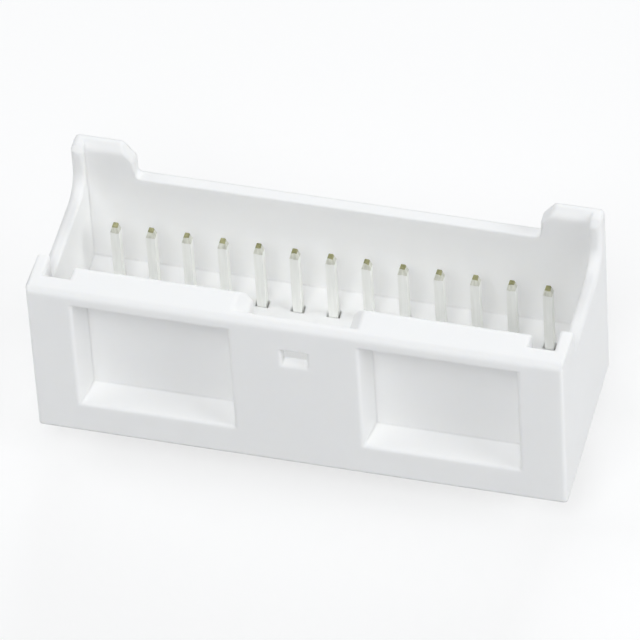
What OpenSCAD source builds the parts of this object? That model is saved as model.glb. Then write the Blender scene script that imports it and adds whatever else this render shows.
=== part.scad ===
// Shrouded board header: one moulded housing with a single row of square contact pins.
// Origin: middle of the pin row, on the face that sits on the board. Pins stand along +Z.

/* [Contacts] */
// Number of contact pins in the row
pin_count = 13; // [8:1:24]
// Distance from one pin to the next
pitch = 2.5; // [2:0.1:3.2]
// Side of the square pin
pin_w = 0.64; // [0.5:0.02:0.8]
// Height of the pin above the cavity floor
pin_reach = 5.75; // [4.5:0.25:7]
// Length of the solder tail below the board seat
tail_len = 3.4; // [2.4:0.1:4.5]
// Length of the tapered end of a pin
taper_len = 0.6; // [0.4:0.05:1.2]
// Side of the flat at the end of the taper
taper_w = 0.3; // [0.2:0.02:0.46]
// Clearance between a pin and its hole, on each side
pin_fit = 0.02; // [0.01:0.01:0.05]
// Gap beside a pin at the cavity floor, to the left and to the right of it
relief_gap = 0.14; // [0.06:0.02:0.3]
// Depth of the relief beside a pin
relief_d = 0.5; // [0.2:0.05:1]

/* [Housing] */
// Distance from the last pin to the end face
end_margin = 3.35; // [3.1:0.05:4.5]
// Distance from the pin row to the front face
front_reach = 10.15; // [9.5:0.05:11.5]
// Distance from the pin row to the rear face
rear_reach = 3.15; // [2.4:0.05:4]
// Height of the cavity floor above the board seat
floor_h = 4.05; // [3:0.05:5]
// Thickness of the end walls
end_t = 0.9; // [0.7:0.05:1.2]
// Height of the end walls
end_h = 11; // [10.2:0.1:12]
// Radius of the outer top edges of the end walls and ears
edge_round = 0.4; // [0.2:0.05:0.5]
// Thickness of the rear wall
rear_t = 0.9; // [0.7:0.05:1.2]
// Height of the rear wall between the ears
rear_h = 12; // [11:0.1:13]
// Radius of the upright outer corners
corner_r = 0.3; // [0.1:0.05:0.6]

/* [Ears] */
// Height of the ears at the rear corners
ear_h = 14.7; // [13.8:0.1:16]
// Width of an ear along the rear wall
ear_w = 4.3; // [3:0.1:6]
// How far the outer end of an ear stands in front of the rear wall
ear_return = 0.5; // [0.3:0.05:1]
// Width of the chamfer on the inner top corner of an ear
ear_chamfer_w = 0.9; // [0.4:0.1:1.5]
// Height of the chamfer on the inner top corner of an ear
ear_chamfer_h = 1.15; // [0.4:0.05:1.6]
// Radius of the hollow corner between an ear and the rear wall
ear_foot_r = 0.4; // [0.2:0.05:0.8]
// Bevel along the front top edge of an ear
ear_bevel = 0.45; // [0.2:0.05:0.6]
// Radius of the hollow blend from an end wall up to its ear
ear_blend = 1.5; // [0.5:0.1:2]

/* [Front wall] */
// Height of the front wall
front_h = 13.2; // [12.6:0.1:14.5]
// Thickness of the front wall
front_t = 3.1; // [2.9:0.05:4]
// Radius of the front top edge
front_round = 0.5; // [0.2:0.05:0.8]
// Lead-in chamfer along the inner top edge of the front wall
lead_in = 0.6; // [0.2:0.05:0.8]
// Depth of the raised front part of the end walls, from the front face
post_d = 3.4; // [3:0.1:5]
// Width of the key slot beside each end wall
key_slot_w = 1.8; // [1:0.05:2]
// Depth of the key slot into the front wall
key_slot_d = 1.55; // [0.8:0.05:1.8]

/* [Latch] */
// Width of the latch channel in the middle of the front wall
latch_w = 6.9; // [5:0.1:8]
// Thickness of the front wall left in front of the latch channel
latch_wall = 0.9; // [0.7:0.05:1.2]
// Flare of the latch channel at its mouth, on each side
latch_flare = 0.8; // [0.3:0.05:1.2]
// Height of the flared mouth
latch_flare_h = 1.1; // [0.6:0.05:1.5]
// Width of the latch window
window_w = 1.75; // [1.2:0.05:3]
// Height of the latch window
window_h = 1.4; // [1:0.05:2.5]
// Distance from the top of the front wall down to the window
window_drop = 2.35; // [1.6:0.05:3.5]

/* [Front pockets] */
// Depth of the moulded pockets in the front face
pocket_d = 2.3; // [1.4:0.05:2.4]
// Height of the pocket sill above the board seat
pocket_sill = 2.6; // [1.5:0.1:4]
// Height of the bar left above a pocket
pocket_bar = 1.15; // [0.8:0.05:2]
// Web between a pocket and the latch channel
pocket_mid_web = 1; // [0.7:0.05:2]
// Web between a pocket and the key slot
pocket_end_web = 0.42; // [0.3:0.02:1.5]
// Narrowing of a pocket from its mouth to its back, on each side
pocket_draft = 0.35; // [0.1:0.05:0.6]

/* [Hidden] */
$fn = 64;
// Overlap by which a cut runs past the face it opens
past = 1;
// The same for the waste of a round edge, less than the radius of the blend that it follows
edge_past = 0.3;
row_len = (pin_count - 1) * pitch;
half_len = row_len / 2 + end_margin;
front_y = -front_reach;
rear_y = rear_reach;
depth = front_reach + rear_reach;
cavity_half = half_len - end_t;
cavity_front = front_y + front_t;
cavity_rear = rear_y - rear_t;
key_slot_x = cavity_half - key_slot_w;
post_y = front_y + post_d;
ear_front = cavity_rear - ear_return;
blend_y = ear_front - ear_blend;
pocket_x0 = latch_w / 2 + pocket_mid_web;
pocket_x1 = key_slot_x - pocket_end_web;
ear_x = half_len - ear_w;
pin_top = floor_h + pin_reach;
hole_w = pin_w + 2 * pin_fit;
relief_w = pin_w + 2 * relief_gap;

function pin_name(i) = str("pin_", i < 10 ? "0" : "", i);
function pin_x(i) = (i - 1) * pitch - row_len / 2;

// Turns a drawing in Y and Z into a bar of the given length along X, centred on X = 0
module along_x(length) {
    rotate([90, 0, 90])
        linear_extrude(length, center = true)
            children();
}

// Turns a drawing in X and Z into a bar along Y, from y0 to y1
module along_y(y0, y1) {
    translate([0, y1, 0])
        rotate([90, 0, 0])
            linear_extrude(y1 - y0)
                children();
}

// Both ends of the housing are mirror images
module both_ends() {
    children();
    mirror([1, 0, 0])
        children();
}

// Area between a square corner at the origin and an arc that touches both of its sides
module corner_fill(r) {
    difference() {
        square(r);
        translate([r, r])
            circle(r);
    }
}

// Area outside a round edge, from past its two faces, with the square edge at the origin
module edge_waste(r) {
    difference() {
        translate([-edge_past, -edge_past])
            square(r + edge_past);
        translate([r, r])
            circle(r);
    }
}

// Rectangle with round corners, from one corner at the origin
module rounded_rectangle(size, r) {
    translate([r, 0])
        square([size[0] - 2 * r, size[1]]);
    translate([0, r])
        square([size[0], size[1] - 2 * r]);
    for (x = [r, size[0] - r], y = [r, size[1] - r])
        translate([x, y])
            circle(r);
}

// Full outline of the housing seen from above, up to the top of the ears
module outer_block() {
    translate([-half_len, front_y])
        linear_extrude(ear_h)
            rounded_rectangle([2 * half_len, depth], corner_r);
}

// Space above the walls in front of the ears, drawn in Y and Z
module side_relief_profile() {
    // Above the end walls, with the hollow blend up to the ears
    difference() {
        translate([post_y, end_h])
            square([ear_front - post_y, ear_h - end_h + past]);
        translate([ear_front, end_h])
            rotate(90)
                corner_fill(ear_blend);
    }
    // Above the front wall and the posts
    translate([front_y - past, front_h])
        square([post_d + past, ear_h - front_h + past]);
    // Bevel along the front top edge of the outer end of the ears
    polygon([
        [ear_front - past, ear_h - ear_bevel - past],
        [ear_front + ear_bevel + past, ear_h + past],
        [ear_front - past, ear_h + past]
    ]);
    // Rounding of the front top edge
    translate([front_y, front_h])
        rotate(-90)
            edge_waste(front_round);
}

// Gap over the rear wall between the ears, drawn in X and Z
module ear_gap_profile() {
    difference() {
        polygon([
            [-ear_x, rear_h],
            [ear_x, rear_h],
            [ear_x, ear_h - ear_chamfer_h],
            [ear_x + ear_chamfer_w, ear_h],
            [ear_x + ear_chamfer_w, ear_h + past],
            [-ear_x - ear_chamfer_w, ear_h + past],
            [-ear_x - ear_chamfer_w, ear_h],
            [-ear_x, ear_h - ear_chamfer_h]
        ]);
        both_ends()
            translate([ear_x, rear_h])
                rotate(90)
                    corner_fill(ear_foot_r);
    }
}

// Waste outside the round outer top corner of an ear, drawn in X and Z
module ear_corner_profile() {
    translate([half_len, ear_h])
        rotate(180)
            edge_waste(edge_round);
}

// Waste outside the round outer edge along an end wall, up its blend and up the front of its ear
module end_edge() {
    translate([half_len, blend_y, end_h])
        rotate([90, 180, 0])
            linear_extrude(blend_y - post_y)
                edge_waste(edge_round);
    translate([half_len, blend_y, end_h + ear_blend])
        rotate([-90, 0, 90])
            rotate_extrude(angle = 90)
                translate([ear_blend, 0])
                    edge_waste(edge_round);
    translate([half_len, ear_front, end_h + ear_blend])
        rotate(90)
            linear_extrude(ear_h)
                edge_waste(edge_round);
}

// Mating cavity with the lead-in along the front wall and the bevel along the ears, drawn in Y and Z
module cavity_profile() {
    polygon([
        [cavity_front, floor_h],
        [cavity_rear, floor_h],
        [cavity_rear, ear_h - ear_bevel],
        [cavity_rear + ear_bevel + past, ear_h + past],
        [cavity_front - lead_in, ear_h + past],
        [cavity_front - lead_in, front_h],
        [cavity_front, front_h - lead_in]
    ]);
}

// Guide slot for a rib of the plug, at the end of the front wall
module key_slot() {
    translate([key_slot_x, cavity_front - key_slot_d, floor_h])
        cube([key_slot_w, key_slot_d + past, ear_h - floor_h]);
}

// Channel for the latch of the plug, flared at its mouth, drawn in X and Z
module latch_channel_profile() {
    half = latch_w / 2;
    polygon([
        [-half, floor_h],
        [half, floor_h],
        [half, front_h - latch_flare_h],
        [half + latch_flare, front_h],
        [half + latch_flare, front_h + past],
        [-half - latch_flare, front_h + past],
        [-half - latch_flare, front_h],
        [-half, front_h - latch_flare_h]
    ]);
}

// Window that the latch snaps into
module latch_window() {
    translate([-window_w / 2, front_y - past, front_h - window_drop - window_h])
        cube([window_w, latch_wall + 2 * past, window_h]);
}

// Pocket that keeps the front wall thin, narrower at its back
module front_pocket() {
    slope = pocket_draft / pocket_d;
    translate([0, 0, pocket_sill])
        linear_extrude(front_h - pocket_bar - pocket_sill)
            polygon([
                [pocket_x0 - slope * past, front_y - past],
                [pocket_x1 + slope * past, front_y - past],
                [pocket_x1 - pocket_draft, front_y + pocket_d],
                [pocket_x0 + pocket_draft, front_y + pocket_d]
            ]);
}

// Square holes that hold the pins, each widened to the left and right at the cavity floor
module pin_holes() {
    for (i = [1:pin_count])
        translate([pin_x(i), 0, floor_h]) {
            cube([hole_w, hole_w, 2 * floor_h + past], center = true);
            cube([relief_w, hole_w, 2 * relief_d], center = true);
        }
}

// Moulded housing
module housing() {
    color("whitesmoke")
        difference() {
            outer_block();
            along_x(2 * half_len + 2 * past)
                side_relief_profile();
            along_y(cavity_rear - past, rear_y + past)
                ear_gap_profile();
            along_y(cavity_rear - past, rear_y + past)
                both_ends()
                    ear_corner_profile();
            both_ends()
                end_edge();
            along_x(2 * cavity_half)
                cavity_profile();
            along_y(front_y + latch_wall, cavity_front + past)
                latch_channel_profile();
            latch_window();
            both_ends()
                key_slot();
            both_ends()
                front_pocket();
            pin_holes();
        }
}

// Outline of a pin from either side, drawn across and along it
module pin_profile() {
    half = pin_w / 2;
    end = taper_w / 2;
    polygon([
        [-end, -tail_len],
        [end, -tail_len],
        [half, taper_len - tail_len],
        [half, pin_top - taper_len],
        [end, pin_top],
        [-end, pin_top],
        [-half, pin_top - taper_len],
        [-half, taper_len - tail_len]
    ]);
}

// Square contact pin with a tapered tip and a tapered solder tail
module pin(i) {
    color("lightgray")
        translate([pin_x(i), 0, 0])
            intersection() {
                along_x(pin_w)
                    pin_profile();
                along_y(-pin_w / 2, pin_w / 2)
                    pin_profile();
            }
}

housing();
for (i = [1:pin_count])
    pin(i);
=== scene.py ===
"""Looks of the shrouded board header: white moulded housing and tinned contact pins, on a pale floor."""
import math

import bpy
from mathutils import Matrix, Vector


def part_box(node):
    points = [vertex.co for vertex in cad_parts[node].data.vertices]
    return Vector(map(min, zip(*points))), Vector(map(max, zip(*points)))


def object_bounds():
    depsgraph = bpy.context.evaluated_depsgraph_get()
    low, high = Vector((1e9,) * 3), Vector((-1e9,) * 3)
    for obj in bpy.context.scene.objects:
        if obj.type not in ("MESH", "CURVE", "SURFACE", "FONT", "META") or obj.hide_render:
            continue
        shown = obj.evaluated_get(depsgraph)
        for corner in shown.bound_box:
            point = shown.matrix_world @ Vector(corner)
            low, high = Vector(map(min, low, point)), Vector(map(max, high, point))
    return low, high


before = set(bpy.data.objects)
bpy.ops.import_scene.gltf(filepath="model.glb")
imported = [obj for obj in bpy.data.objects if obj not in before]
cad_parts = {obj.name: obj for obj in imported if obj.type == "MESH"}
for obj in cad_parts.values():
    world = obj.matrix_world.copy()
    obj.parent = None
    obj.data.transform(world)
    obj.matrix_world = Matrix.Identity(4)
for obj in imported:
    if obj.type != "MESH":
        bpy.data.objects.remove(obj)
cad_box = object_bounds()
scene = bpy.context.scene
MM = 0.001

# Camera, solved from the photograph: angles in degrees, lengths in mm, focal length in pixels of the frame
AZIMUTH, ELEVATION, ROLL = 16.563, 46.556, -3.788
DISTANCE = 539.56
TARGET = (-1.034, 0.0, 3.236)
FOCAL_PX, FRAME_PX = 7949.9, 640
SENSOR = 36.0
CLIP_START, CLIP_END = 0.01, 20.0

# Edge rounds: width on the housing and on the pins, and the angle from which an edge counts as sharp
HOUSING_EDGE, PIN_EDGE = 0.2 * MM, 0.025 * MM
SHARP = math.radians(35)
EDGE_SEGMENTS = 3
# Points closer than WELD are one, and faces that differ by less than FLAT are joined, before edges are cut
WELD, FLAT = 0.001 * MM, math.radians(1)
# Edges of the housing without a round: short ones, those of the pin holes (within HOLE_HALF of the row and
# below HOLE_TOP), and those within RIM of the underside or of the rear face
SHORT = 0.2 * MM
HOLE_HALF, HOLE_TOP = 0.6 * MM, 4.3 * MM
RIM = 0.05 * MM
# The housing's edges are shaded a little softer than they are cut
SHADE_ROUND, SHADE_SAMPLES = 0.25 * MM, 8

# Noise: the band of its values that is spread over a full range, then features per metre and detail of each
NOISE_LOW, NOISE_HIGH = 0.3, 0.7
CLOUD, GRAIN = (260, 4), (7000, 2)
STREAK, SPOT = (5000, 3), (2600, 3)
STREAK_STRETCH = (1, 1, 0.06)

# Nylon of the housing; the let-in values are for light that enters the walls
NYLON_DARK, NYLON_LIGHT = (0.944, 0.943, 0.936), (0.966, 0.965, 0.959)
NYLON_ROUGH = (0.56, 0.70)
SPECK_LOW, SPECK_HIGH, SPECK_SHARE = 0.35, 0.65, 0.10
GRAIN_STRENGTH, GRAIN_DEPTH = 0.12, 0.01 * MM
LET_IN_SHARE, LET_IN_RADIUS, LET_IN_DEPTH = 0.25, (1.0, 0.95, 0.85), 0.35 * MM
NYLON_SPECULAR = 0.3

# Tinned brass of the pins: worn along the tapers, bare brass on the cut ends
TIN_DARK, TIN_LIGHT = (0.90, 0.905, 0.87), (0.965, 0.97, 0.94)
WORN_DARK, WORN_LIGHT = (0.58, 0.58, 0.50), (0.84, 0.84, 0.76)
BRASS_DARK, BRASS_LIGHT = (0.20, 0.20, 0.08), (0.42, 0.41, 0.22)
TAPER, CAP = 0.6 * MM, 0.16 * MM
RAGGED, BLEND = 0.05 * MM, 0.03 * MM
TIN_ROUGH, BRASS_ROUGHER = (0.40, 0.52), 0.06
TIN_METALLIC = 0.3
STREAK_STRENGTH, STREAK_DEPTH = 0.15, 0.006 * MM

# Stage: the floor seen, the share of plain white in it, and the floor as it lights the object
FLOOR_SEEN, FLOOR_WHITE, FLOOR_BOUNCE = (0.97, 0.97, 0.97), 0.62, (0.76, 0.76, 0.76)
FLOOR_ROUGH = 0.9
FLOOR_HALF, FLOOR_GAP = 3.0, 0.01 * MM
SKY_COLOR, SKY_STRENGTH = (0.96, 0.99, 1.02), 0.15
LAMP_DISTANCE, LAMP_SIZE, LAMP_COLOR = 1.0, 0.55, (0.985, 1.0, 1.015)
# Each soft lamp: azimuth from the front towards the right, elevation, power in watts
LAMPS = {"front": (0, 52, 4.25), "right": (80, 29, 4.0), "left": (-90, 46, 1.95), "back": (180, 26, 4.15)}

# Places of the colour sockets on a Mix node
MIX_A, MIX_B, MIX_RESULT = 6, 7, 2


class Nodes:
    """A material's node tree, with short calls to add and link nodes."""

    def __init__(self, name):
        self.material = bpy.data.materials.new(name)
        self.material.use_nodes = True
        self.tree = self.material.node_tree
        self.shader = self.tree.nodes["Principled BSDF"]
        self.place = self.add("ShaderNodeTexCoord").outputs["Object"]

    def add(self, kind, **settings):
        node = self.tree.nodes.new(kind)
        for key, value in settings.items():
            setattr(node, key, value)
        return node

    def link(self, output, socket):
        self.tree.links.new(output, socket)

    def noise(self, scale, detail, stretch=(1, 1, 1)):
        """Noise in the object's own metres; scale is features per metre."""
        mapping = self.add("ShaderNodeMapping")
        mapping.inputs["Scale"].default_value = stretch
        self.link(self.place, mapping.inputs["Vector"])
        node = self.add("ShaderNodeTexNoise")
        node.inputs["Scale"].default_value = scale
        node.inputs["Detail"].default_value = detail
        self.link(mapping.outputs["Vector"], node.inputs["Vector"])
        return node.outputs["Fac"]

    def span(self, value, low, high, to_low=0.0, to_high=1.0):
        """Map Range with clamping."""
        node = self.add("ShaderNodeMapRange")
        for key, number in zip(("From Min", "From Max", "To Min", "To Max"), (low, high, to_low, to_high)):
            node.inputs[key].default_value = number
        self.link(value, node.inputs["Value"])
        return node.outputs["Result"]

    def spread(self, noise, to_low=0.0, to_high=1.0):
        """The usual band of a noise, spread from to_low to to_high."""
        return self.span(noise, NOISE_LOW, NOISE_HIGH, to_low, to_high)

    def math(self, operation, a, b):
        node = self.add("ShaderNodeMath", operation=operation)
        self.link(a, node.inputs[0])
        self.link(b, node.inputs[1])
        return node.outputs["Value"]

    def mix(self, factor, a, b):
        """Colour a where factor is 0, colour b where it is 1; a and b are colours or outputs."""
        node = self.add("ShaderNodeMix", data_type="RGBA")
        self.link(factor, node.inputs["Factor"])
        for socket, value in ((node.inputs[MIX_A], a), (node.inputs[MIX_B], b)):
            if isinstance(value, tuple):
                socket.default_value = (*value, 1.0)
            else:
                self.link(value, socket)
        return node.outputs[MIX_RESULT]

    def bump(self, height, strength, distance, shade_round=0.0):
        """Fine relief; with shade_round, edges are also shaded as if rounded by that radius."""
        node = self.add("ShaderNodeBump")
        node.inputs["Strength"].default_value = strength
        node.inputs["Distance"].default_value = distance
        self.link(height, node.inputs["Height"])
        if shade_round:
            edge = self.add("ShaderNodeBevel", samples=SHADE_SAMPLES)
            edge.inputs["Radius"].default_value = shade_round
            self.link(edge.outputs["Normal"], node.inputs["Normal"])
        self.link(node.outputs["Normal"], self.shader.inputs["Normal"])


def nylon():
    """Natural white nylon: faint cloudy tone, fine spark-eroded grain, a little light let into the walls."""
    m = Nodes("nylon")
    cloud = m.noise(*CLOUD)
    grain = m.noise(*GRAIN)
    tone = m.mix(m.spread(cloud), NYLON_DARK, NYLON_LIGHT)
    speck = m.mix(m.span(grain, SPECK_LOW, SPECK_HIGH, 0.0, SPECK_SHARE), tone, NYLON_DARK)
    m.link(speck, m.shader.inputs["Base Color"])
    m.link(m.spread(cloud, *NYLON_ROUGH), m.shader.inputs["Roughness"])
    m.shader.inputs["Subsurface Weight"].default_value = LET_IN_SHARE
    m.shader.inputs["Subsurface Radius"].default_value = LET_IN_RADIUS
    m.shader.inputs["Subsurface Scale"].default_value = LET_IN_DEPTH
    m.shader.inputs["Specular IOR Level"].default_value = NYLON_SPECULAR
    m.bump(grain, GRAIN_STRENGTH, GRAIN_DEPTH, SHADE_ROUND)
    return m.material


def tinned_brass(low, high):
    """Matte tin with drawing streaks along a pin from low to high, worn thin on its tapered ends, with bare
    brass where these were cut off."""
    m = Nodes("tinned_brass")
    streak = m.noise(*STREAK, STREAK_STRETCH)
    spot = m.noise(*SPOT)
    tin = m.mix(m.spread(streak), TIN_DARK, TIN_LIGHT)
    brass = m.mix(m.spread(spot), BRASS_DARK, BRASS_LIGHT)
    worn = m.mix(m.spread(streak), WORN_DARK, WORN_LIGHT)
    height = m.add("ShaderNodeSeparateXYZ")
    m.link(m.place, height.inputs["Vector"])
    level = m.math("ADD", height.outputs["Z"], m.spread(spot, -RAGGED, RAGGED))

    def ends(length):
        """1 within this length of the top or the bottom of the pin, 0 between."""
        top = m.span(level, high - length - BLEND, high - length + BLEND)
        bottom = m.span(level, low + length + BLEND, low + length - BLEND)
        return m.math("MAXIMUM", top, bottom)

    bare = ends(CAP)
    m.link(m.mix(bare, m.mix(ends(TAPER), tin, worn), brass), m.shader.inputs["Base Color"])
    rough = m.math("ADD", m.spread(streak, *TIN_ROUGH), m.span(bare, 0, 1, 0, BRASS_ROUGHER))
    m.link(rough, m.shader.inputs["Roughness"])
    m.shader.inputs["Metallic"].default_value = TIN_METALLIC
    m.bump(streak, STREAK_STRENGTH, STREAK_DEPTH)
    return m.material


def mark_edges(piece):
    """Marks for the bevel that follows. Outer edges get a round, save short ones and those of the pin holes,
    of the underside and of the rear face. All other sharp edges stay sharp in the shading."""
    tree = bpy.data.node_groups.new("sharp_edges", "GeometryNodeTree")
    for way in ("INPUT", "OUTPUT"):
        tree.interface.new_socket("Geometry", in_out=way, socket_type="NodeSocketGeometry")
    add, link = tree.nodes.new, tree.links.new

    def compare(value, operation, limit):
        node = add("FunctionNodeCompare")
        node.data_type, node.operation = "FLOAT", operation
        node.inputs[1].default_value = limit
        link(value, node.inputs[0])
        return node.outputs["Result"]

    def join(operation, a, b):
        node = add("FunctionNodeBooleanMath")
        node.operation = operation
        link(a, node.inputs[0])
        link(b, node.inputs[1])
        return node.outputs["Boolean"]

    place = add("ShaderNodeSeparateXYZ")
    link(add("GeometryNodeInputPosition").outputs["Position"], place.inputs["Vector"])
    y, z = place.outputs["Y"], place.outputs["Z"]
    ends, length = add("GeometryNodeInputMeshEdgeVertices"), add("ShaderNodeVectorMath")
    length.operation = "DISTANCE"
    link(ends.outputs["Position 1"], length.inputs[0])
    link(ends.outputs["Position 2"], length.inputs[1])
    angle = add("GeometryNodeInputMeshEdgeAngle").outputs

    beside = join("OR", compare(y, "GREATER_THAN", HOLE_HALF), compare(y, "LESS_THAN", -HOLE_HALF))
    clear = join("OR", beside, compare(z, "GREATER_THAN", HOLE_TOP))
    for value, operation, limit in ((length.outputs["Value"], "GREATER_THAN", SHORT),
                                    (z, "GREATER_THAN", RIM),
                                    (y, "LESS_THAN", cad_box[1].y - RIM),
                                    (angle["Signed Angle"], "GREATER_THAN", 0.0)):
        clear = join("AND", clear, compare(value, operation, limit))
    sharp = compare(angle["Unsigned Angle"], "GREATER_THAN", SHARP)

    last = add("NodeGroupInput").outputs["Geometry"]
    for name, kind, value, chosen in (("bevel_weight_edge", "FLOAT", 1.0, join("AND", sharp, clear)),
                                      ("sharp_edge", "BOOLEAN", True, join("NIMPLY", sharp, clear))):
        store = add("GeometryNodeStoreNamedAttribute")
        store.data_type, store.domain = kind, "EDGE"
        store.inputs["Name"].default_value = name
        store.inputs["Value"].default_value = value
        link(chosen, store.inputs["Selection"])
        link(last, store.inputs["Geometry"])
        last = store.outputs["Geometry"]
    link(last, add("NodeGroupOutput").inputs["Geometry"])
    piece.modifiers.new("marks", "NODES").node_group = tree


def soften(piece, width, marked):
    """Small round edges, on all sharp edges or on those that mark_edges chooses."""
    weld = piece.modifiers.new("weld", "WELD")
    weld.merge_threshold = WELD
    flat = piece.modifiers.new("flat", "DECIMATE")
    flat.decimate_type = "DISSOLVE"
    flat.angle_limit = FLAT
    if marked:
        mark_edges(piece)
    bevel = piece.modifiers.new("edge", "BEVEL")
    bevel.width = width
    bevel.segments = EDGE_SEGMENTS
    bevel.limit_method = "WEIGHT" if marked else "ANGLE"
    bevel.angle_limit = SHARP
    bevel.use_clamp_overlap = not marked
    normal = piece.modifiers.new("normal", "WEIGHTED_NORMAL")
    normal.keep_sharp = marked


def dress():
    """Material and edge rounds of every piece."""
    pins = sorted(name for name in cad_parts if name.startswith("pin_"))
    low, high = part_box(pins[0])
    looks = {"housing": (nylon(), HOUSING_EDGE)}
    metal = tinned_brass(low.z, high.z)
    looks.update({name: (metal, PIN_EDGE) for name in pins})
    for name, (material, edge) in looks.items():
        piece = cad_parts[name]
        piece.data.materials.clear()
        piece.data.materials.append(material)
        soften(piece, edge, name == "housing")


def direction(azimuth, elevation):
    """Unit vector from the object, with the azimuth in radians from the front towards the right."""
    return Vector((math.sin(azimuth) * math.cos(elevation), -math.cos(azimuth) * math.cos(elevation),
                   math.sin(elevation)))


def camera():
    """The photograph's view."""
    a, e, r = (math.radians(v) for v in (AZIMUTH, ELEVATION, ROLL))
    back = direction(a, e)
    level = Vector((math.cos(a), math.sin(a), 0.0))
    rise = back.cross(level)
    right = math.cos(r) * level + math.sin(r) * rise
    up = math.cos(r) * rise - math.sin(r) * level
    data = bpy.data.cameras.new("camera")
    data.sensor_width = SENSOR
    data.lens = FOCAL_PX / FRAME_PX * SENSOR
    data.clip_start, data.clip_end = CLIP_START, CLIP_END
    made = bpy.data.objects.new("camera", data)
    made.matrix_world = Matrix((right, up, back)).transposed().to_4x4()
    made.matrix_world.translation = (Vector(TARGET) + DISTANCE * back) * MM
    scene.collection.objects.link(made)
    scene.camera = made


def seen(tree):
    """1 where a surface is looked at, straight, mirrored or through glass; 0 where it lights the object."""
    path = tree.nodes.new("ShaderNodeLightPath")
    value = path.outputs["Is Camera Ray"]
    for name in ("Is Glossy Ray", "Is Transmission Ray"):
        either = tree.nodes.new("ShaderNodeMath")
        either.operation = "MAXIMUM"
        tree.links.new(value, either.inputs[0])
        tree.links.new(path.outputs[name], either.inputs[1])
        value = either.outputs["Value"]
    return value


def floor():
    """Pale floor at the foot of the solder tails, nearly white where it is looked at, with a weak shadow."""
    half, level = FLOOR_HALF, cad_box[0].z - FLOOR_GAP
    mesh = bpy.data.meshes.new("floor")
    mesh.from_pydata([(-half, -half, level), (half, -half, level), (half, half, level), (-half, half, level)],
                     [], [(0, 1, 2, 3)])
    made = bpy.data.objects.new("floor", mesh)
    scene.collection.objects.link(made)
    m = Nodes("floor")
    m.shader.inputs["Base Color"].default_value = (*FLOOR_BOUNCE, 1.0)
    m.shader.inputs["Roughness"].default_value = FLOOR_ROUGH
    m.shader.inputs["Specular IOR Level"].default_value = 0.0
    paper, white = m.add("ShaderNodeBsdfDiffuse"), m.add("ShaderNodeEmission")
    paper.inputs["Color"].default_value = (*FLOOR_SEEN, 1.0)
    pale, floor_seen = m.add("ShaderNodeMixShader"), m.add("ShaderNodeMixShader")
    pale.inputs["Fac"].default_value = FLOOR_WHITE
    m.link(paper.outputs["BSDF"], pale.inputs[1])
    m.link(white.outputs["Emission"], pale.inputs[2])
    m.link(seen(m.tree), floor_seen.inputs["Fac"])
    m.link(m.shader.outputs["BSDF"], floor_seen.inputs[1])
    m.link(pale.outputs["Shader"], floor_seen.inputs[2])
    m.link(floor_seen.outputs["Shader"], m.tree.nodes["Material Output"].inputs["Surface"])
    m.material.cycles.emission_sampling = "NONE"
    mesh.materials.append(m.material)


def lights():
    """Even pale sky, white where it is looked at, and four large soft lamps."""
    world = bpy.data.worlds.new("sky")
    scene.world = world
    world.use_nodes = True
    nodes, links = world.node_tree.nodes, world.node_tree.links
    nodes.clear()
    sky, white = nodes.new("ShaderNodeBackground"), nodes.new("ShaderNodeBackground")
    sky.inputs["Color"].default_value = (*SKY_COLOR, 1.0)
    sky.inputs["Strength"].default_value = SKY_STRENGTH
    white.inputs["Color"].default_value = (1.0, 1.0, 1.0, 1.0)
    mix, out = nodes.new("ShaderNodeMixShader"), nodes.new("ShaderNodeOutputWorld")
    links.new(seen(world.node_tree), mix.inputs["Fac"])
    links.new(sky.outputs["Background"], mix.inputs[1])
    links.new(white.outputs["Background"], mix.inputs[2])
    links.new(mix.outputs["Shader"], out.inputs["Surface"])

    for name, (azimuth, elevation, power) in LAMPS.items():
        aim = direction(math.radians(azimuth), math.radians(elevation))
        data = bpy.data.lights.new(name, "AREA")
        data.shape = "DISK"
        data.size = LAMP_SIZE
        data.color = LAMP_COLOR
        data.energy = power
        lamp = bpy.data.objects.new(name, data)
        lamp.location = aim * LAMP_DISTANCE
        lamp.rotation_mode = "QUATERNION"
        lamp.rotation_quaternion = (-aim).to_track_quat("-Z", "Y")
        scene.collection.objects.link(lamp)


camera()
dress()
floor()
lights()
scene.view_settings.view_transform = "Standard"
